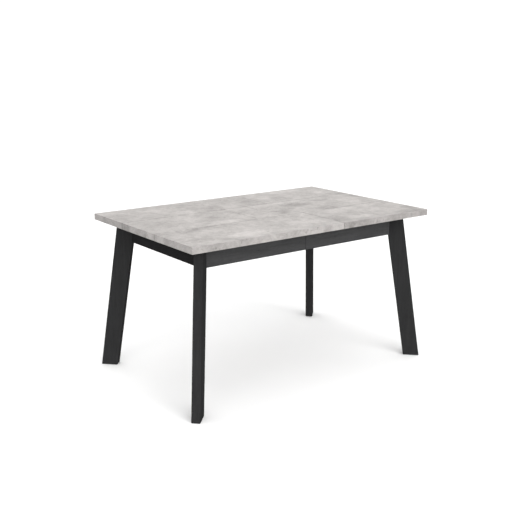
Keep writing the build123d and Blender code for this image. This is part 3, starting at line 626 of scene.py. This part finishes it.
class TABLE_PG_studio(bpy.types.PropertyGroup):
    """Floor, lights and camera"""

    floor: shade("Floor", "Colour of the floor", (0.90, 0.90, 0.90))
    floor_reach: size("Floor reach", "Half the side of the floor", 400.0)
    sky: share("Sky", "Strength of the even light", 0.67, 10)
    horizon: share("Horizon", "Extra light low down, all round", 0.37, 10)
    overhead: share("Overhead", "Strength of the soft light overhead", 1.0, 20)
    rear: share("Rear", "Strength of the high light behind", 0.9, 20)
    front: share("Front", "Strength of the light in front", 3.7, 20)
    key: share("Key", "Strength of the light in front, to the left", 2.5, 20)
    lens: bpy.props.FloatProperty(
        name="Lens", description="Focal length on a 36 mm sensor", default=56.5, unit="CAMERA"
    )
    camera: bpy.props.FloatVectorProperty(
        name="Camera",
        description="Place of the camera",
        subtype="TRANSLATION",
        unit="LENGTH",
        default=(-2.38774, -3.16055, 1.54379),
    )
    heading: bpy.props.FloatProperty(
        name="Heading", description="Camera's turn from +Y", subtype="ANGLE", default=math.radians(36.66)
    )
    tilt: bpy.props.FloatProperty(
        name="Tilt", description="Camera's downward tilt", subtype="ANGLE", default=math.radians(14.19)
    )


# ---------------------------------------------------------------- operators
class TABLE_OT_tops(bpy.types.Operator):
    """Prints the concrete decor on both halves of the top"""

    bl_idname = "table.tops"
    bl_label = "Finish the tops"

    def execute(self, context):
        decor = context.scene.table_decor
        panels = (PANEL_ROWS, PANEL_JOINTS)
        face = concrete("top_concrete", decor, 1.0, CLOUDS, *panels, TOP_SHADES)
        coat(("top_left", "top_right"), face)
        # The edge strips print the decor darker than the top: painted shade.
        edge = concrete("edge_painted_shade_concrete", decor, decor.edge_painted_shade, EDGE_CLOUDS, *panels, EDGE_SHADES)
        coat(("top_edging",), edge)
        return {"FINISHED"}


class TABLE_OT_leaves(bpy.types.Operator):
    """Prints the concrete decor on the stored leaves, in panels that run along Y"""

    bl_idname = "table.leaves"
    bl_label = "Finish the leaves"

    def execute(self, context):
        decor = context.scene.table_decor
        low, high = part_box("leaf_1")
        middle = (low.x + high.x) / 2
        rows = (middle - decor.panel_width / 2, middle + decor.panel_width / 2)
        face = concrete("leaf_concrete", decor, rows=rows, along="y")
        coat(("leaf_1", "leaf_2"), face)
        # The leaves' edge strips print the decor darker too: painted shade.
        edge = concrete("leaf_edge_painted_shade_concrete", decor, decor.edge_painted_shade, rows=rows, along="y")
        coat(("leaf_edging",), edge)
        return {"FINISHED"}


class TABLE_OT_frame(bpy.types.Operator):
    """Lacquers the aprons and legs with one lacquer in painted light and shade: lighter on the long
    aprons, darker on the legs and end aprons
    """

    bl_idname = "table.frame"
    bl_label = "Finish the frame"

    def execute(self, context):
        look = context.scene.table_lacquer
        upright = lacquer("leg_lacquer_painted_shade", look, look.leg_painted_shade, "z", scuffed=True)
        coat(("leg_",), upright)
        long_way = lacquer("long_apron_lacquer_painted_light", look, look.long_painted_light, "x")
        coat(("front_apron", "rear_apron"), long_way)
        cross_way = lacquer("end_apron_lacquer_painted_shade", look, look.end_painted_shade, "y")
        coat(("end_apron",), cross_way)
        return {"FINISHED"}


class TABLE_OT_slides(bpy.types.Operator):
    """Finishes the aluminium slides and carriage, and the nylon that runs in them"""

    bl_idname = "table.slides"
    bl_label = "Finish the slides"

    def execute(self, context):
        look = context.scene.table_fittings
        drawn = extruded("drawn_aluminium", look)
        coat(("slide_channel", "centre_runner", "crossbars", "slide_racks"), drawn)
        nylon = moulded("black_nylon", look.nylon)
        coat(("slide_shoes", "slide_pads", "pinion_front", "pinion_rear"), nylon)
        coat(("crossbar_caps", "leaf_pads", "leaf_stops", "glides"), nylon)
        return {"FINISHED"}


class TABLE_OT_fixings(bpy.types.Operator):
    """Finishes the plated steel fixings and locks"""

    bl_idname = "table.fixings"
    bl_label = "Finish the fixings"

    def execute(self, context):
        steel = plated("plated_steel", context.scene.table_fittings)
        coat(("brackets", "wood_screws", "batten_screws", "carrier_screws"), steel)
        coat(("nuts_and_washers", "lock_", "pinion_pins"), steel)
        return {"FINISHED"}


class TABLE_OT_timber(bpy.types.Operator):
    """Finishes the unlacquered wood under the top"""

    bl_idname = "table.timber"
    bl_label = "Finish the hidden wood"

    def execute(self, context):
        look = context.scene.table_fittings
        battens = timber("batten_wood", look, drawn_out("x", BATTEN_DRAW))
        coat(("slide_battens",), battens)
        blocks = timber("block_wood", look, drawn_out("z", BLOCK_DRAW))
        coat(("corner_blocks", "carrier_hangers"), blocks)
        return {"FINISHED"}


class TABLE_OT_bolts(bpy.types.Operator):
    """Makes the hanger bolts with their threads, in place of the plain shanks"""

    bl_idname = "table.bolts"
    bl_label = "Thread the hanger bolts"

    def execute(self, context):
        look = context.scene.table_fittings
        for side, sx in (("left", -1), ("right", 1)):
            node = "hanger_bolts_" + side
            low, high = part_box(node)
            radius = look.bolt_radius
            rim = radius / math.sqrt(2)  # how far the edge of a tip stands out along X and Y
            length = (high.x - low.x - 2 * rim) * math.sqrt(2)
            outer_x = low.x + rim if sx < 0 else high.x - rim
            shapes = []
            for sy in (-1, 1):
                outer_y = sy * (high.y - rim)
                for z in (low.z + radius, high.z - radius):
                    start, inward = (outer_x, outer_y, z), (-sx, -sy, 0)
                    shapes.append(threaded_rod(start, inward, length, radius, look.thread_pitch))
            material = NODES["nuts_and_washers_" + side].material_slots[0].material
            make_piece(f"threaded_bolts_{side}", shapes, side + "_half", node, material)
        return {"FINISHED"}


class TABLE_OT_dowels(bpy.types.Operator):
    """Makes the fluted dowels of the top and the leaves"""

    bl_idname = "table.dowels"
    bl_label = "Flute the dowels"

    def execute(self, context):
        look = context.scene.table_fittings
        wood = timber("dowel_wood", look, (1.0, 1.0, 1.0))
        low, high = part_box("top_dowels")
        radius = (high.z - low.z) / 2
        shapes = []
        for y in np.linspace(low.y + radius, high.y - radius, DOWELS_PER_EDGE):
            start = (low.x, y, low.z + radius)
            shapes.append(fluted_dowel(start, (1, 0, 0), high.x - low.x, radius, look))
        make_piece("fluted_top_dowels", shapes, "left_half", "top_dowels", wood)
        low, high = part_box("leaf_dowels")
        shapes = []
        for x in np.linspace(low.x + radius, high.x - radius, DOWELS_PER_EDGE):
            for z in (low.z + radius, high.z - radius):
                start = (x, high.y, z)
                shapes.append(fluted_dowel(start, (0, -1, 0), high.y - low.y, radius, look))
        make_piece("fluted_leaf_dowels", shapes, "leaf_carriage", "leaf_dowels", wood)
        return {"FINISHED"}


class TABLE_OT_studio(bpy.types.Operator):
    """Sets up the white floor, the even light and the camera"""

    bl_idname = "table.studio"
    bl_label = "Set up the studio"

    def execute(self, context):
        look = context.scene.table_studio
        self.add_floor(look)
        self.add_light(context, look)
        self.add_camera(context, look)
        context.scene.view_settings.view_transform = "Standard"
        return {"FINISHED"}

    def add_floor(self, look):
        """One square of faintly uneven paint."""
        mesh = bpy.data.meshes.new("floor")
        corners = np.array(((-1, -1, 0), (1, -1, 0), (1, 1, 0), (-1, 1, 0))) * look.floor_reach
        mesh.from_pydata(corners.tolist(), [], [(0, 1, 2, 3)])
        f = Finish("floor_paint")
        cast = f.noise(2.0, detail=2.0) * 0.02 + 0.99
        paint = f.mix(cast, (0, 0, 0, 1), rgb(look.floor))
        mesh.materials.append(f.surface(Base_Color=paint, Roughness=0.9, Specular_IOR_Level=0.1))
        floor = bpy.data.objects.new("floor", mesh)
        bpy.context.scene.collection.objects.link(floor)

    def add_light(self, context, look):
        """An even sky, brighter along the horizon, with soft round lights in it.  A light is the
        smoothed step of the cosine of the angle from its middle, between two radii."""
        f = Finish("studio", "worlds", "Generated")
        strength = look.sky + abs(f.z).fade(*HORIZON_FADE) * look.horizon
        for name, degrees in LIGHTS.items():
            heading, height, inner, outer = map(math.radians, degrees)
            level = math.cos(height)
            middle = (math.sin(heading) * level, math.cos(heading) * level, math.sin(height))
            nearness = f.vector("DOT_PRODUCT", f.place, middle, out="Value")
            lit = nearness.ease(math.cos(outer), math.cos(inner))
            strength = strength + lit * getattr(look, name)
        light = {"Color": (1, 1, 1, 1), "Strength": strength}
        f.end(f.node("ShaderNodeBackground", sockets=light), "ShaderNodeOutputWorld")
        context.scene.world = f.owner

    def add_camera(self, context, look):
        """A camera that is turned from +Y by its heading and looks down by its tilt."""
        data = bpy.data.cameras.new("camera")
        data.lens = look.lens
        data.sensor_width = SENSOR_WIDTH
        camera = bpy.data.objects.new("camera", data)
        camera.location = look.camera
        camera.rotation_euler = (math.pi / 2 - look.tilt, 0.0, -look.heading)
        context.scene.collection.objects.link(camera)
        context.scene.camera = camera


class TABLE_PT_panel(bpy.types.Panel):
    """Lists the steps that dress the table"""

    bl_label = "Dining table"
    bl_idname = "TABLE_PT_panel"
    bl_space_type = "VIEW_3D"
    bl_region_type = "UI"
    bl_category = "Table"

    def draw(self, context):
        for step in STEPS:
            self.layout.operator(step.bl_idname)
        for group in GROUPS:
            settings = getattr(context.scene, group)
            box = self.layout.box()
            for key in settings.__annotations__:
                box.prop(settings, key)


GROUPS = {
    "table_decor": TABLE_PG_decor,
    "table_lacquer": TABLE_PG_lacquer,
    "table_fittings": TABLE_PG_fittings,
    "table_studio": TABLE_PG_studio,
}
STEPS = (
    TABLE_OT_tops,
    TABLE_OT_leaves,
    TABLE_OT_frame,
    TABLE_OT_slides,
    TABLE_OT_fixings,
    TABLE_OT_timber,
    TABLE_OT_bolts,
    TABLE_OT_dowels,
    TABLE_OT_studio,
)


def register():
    for made in (*GROUPS.values(), *STEPS, TABLE_PT_panel):
        bpy.utils.register_class(made)
    for name, group in GROUPS.items():
        setattr(bpy.types.Scene, name, bpy.props.PointerProperty(type=group))


def unregister():
    for name in GROUPS:
        delattr(bpy.types.Scene, name)
    for made in (TABLE_PT_panel, *reversed(STEPS), *GROUPS.values()):
        bpy.utils.unregister_class(made)


def main():
    register()
    bpy.ops.table.tops()
    bpy.ops.table.leaves()
    bpy.ops.table.frame()
    bpy.ops.table.slides()
    bpy.ops.table.fixings()
    bpy.ops.table.timber()
    bpy.ops.table.bolts()
    bpy.ops.table.dowels()
    bpy.ops.table.studio()


if __name__ == "__main__":
    main()
